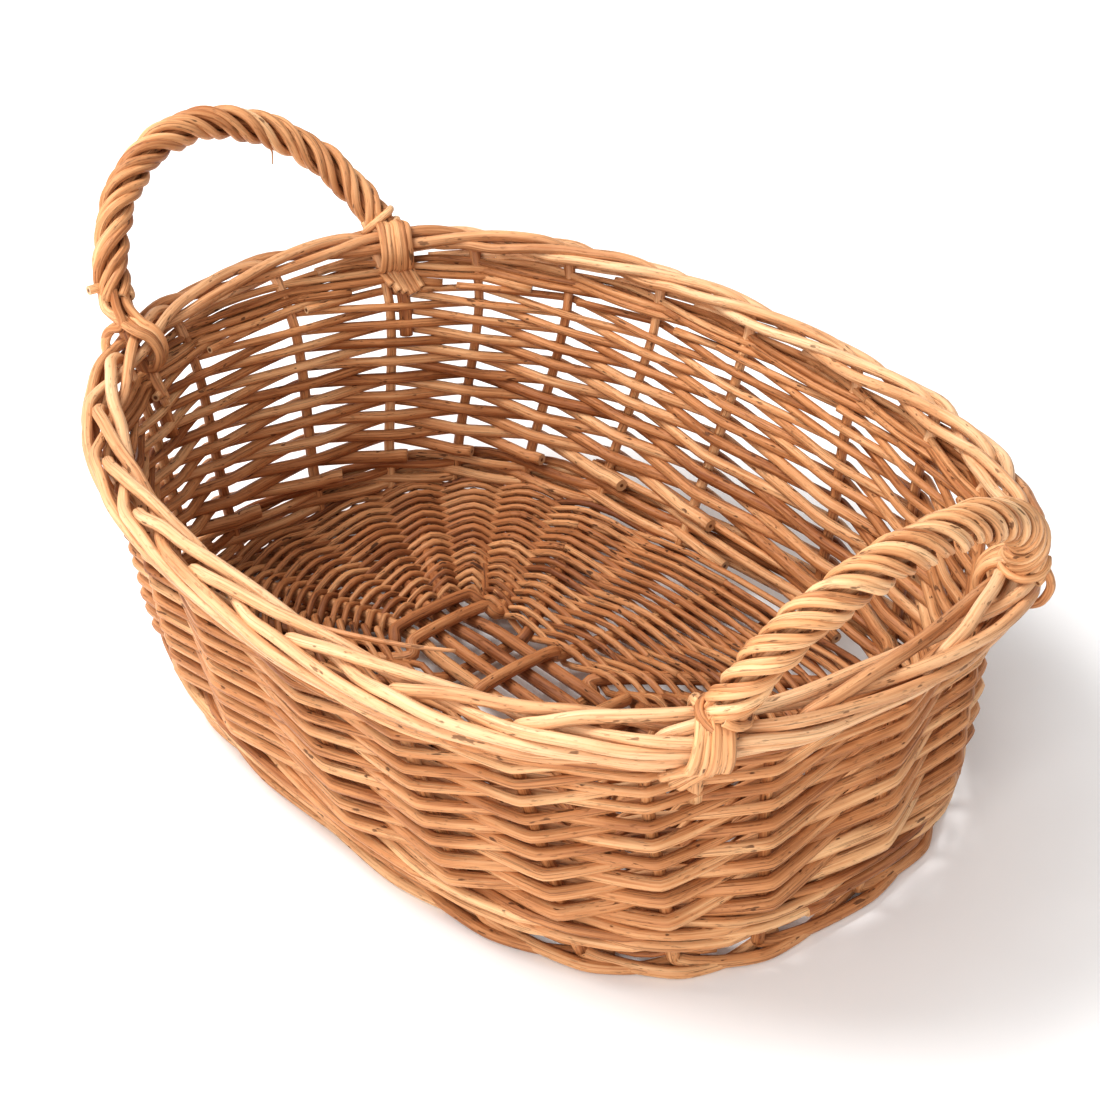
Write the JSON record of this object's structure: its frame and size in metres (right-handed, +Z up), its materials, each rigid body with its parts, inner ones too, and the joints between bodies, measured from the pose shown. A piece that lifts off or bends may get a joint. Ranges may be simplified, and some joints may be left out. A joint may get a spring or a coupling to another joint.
{
  "type": "oval wicker basket",
  "caption": "Oval open basket of woven willow rods with flaring walls, a plaited border and foot, and a roped bow handle at each end.",
  "frame": {"origin": "On the table under the foot border, at the middle of the overall length and width.", "axes": "+X along the oval towards the more upright handle (right), +Y across it, +Z up. Front is the -Y side."},
  "size_m": [0.481, 0.346, 0.2166],
  "materials": {
    "base_sticks": "rough buff willow",
    "base_weave": "rough buff willow",
    "foot_border": "satin buff willow",
    "side_stakes": "satin buff willow",
    "upsett": "satin buff willow",
    "siding": "satin buff willow",
    "border": "satin buff willow",
    "handle_core": "satin buff willow",
    "handle_rope": "satin buff willow",
    "lashing": "satin buff willow"
  },
  "bodies": {
    "root": {"base_stick_long_1": "base_sticks", "base_stick_long_2": "base_sticks", "base_stick_long_3": "base_sticks", "base_stick_long_4": "base_sticks", "base_stick_cross_1": "base_sticks", "base_stick_cross_2": "base_sticks", "base_stick_cross_3": "base_sticks", "base_stick_cross_4": "base_sticks", "base_stick_cross_5": "base_sticks", "base_stick_cross_6": "base_sticks", "base_stick_cross_7": "base_sticks", "base_weave": "base_weave", "foot_border": "foot_border", "side_stake_01": "side_stakes", "side_stake_02": "side_stakes", "side_stake_03": "side_stakes", "side_stake_04": "side_stakes", "side_stake_05": "side_stakes", "side_stake_06": "side_stakes", "side_stake_07": "side_stakes", "side_stake_08": "side_stakes", "side_stake_09": "side_stakes", "side_stake_10": "side_stakes", "side_stake_11": "side_stakes", "side_stake_12": "side_stakes", "side_stake_13": "side_stakes", "side_stake_14": "side_stakes", "side_stake_15": "side_stakes", "side_stake_16": "side_stakes", "side_stake_17": "side_stakes", "side_stake_18": "side_stakes", "side_stake_19": "side_stakes", "side_stake_20": "side_stakes", "side_stake_21": "side_stakes", "side_stake_22": "side_stakes", "side_stake_23": "side_stakes", "upsett_wale": "upsett", "siding_weave": "siding", "top_wale": "siding", "border": "border", "handle_core_left": "handle_core", "handle_rope_left": "handle_rope", "handle_core_right": "handle_core", "handle_rope_right": "handle_rope", "lashing_left_front": "lashing", "lashing_left_back": "lashing", "lashing_right_front": "lashing", "lashing_right_back": "lashing"}
  },
  "joints": []
}
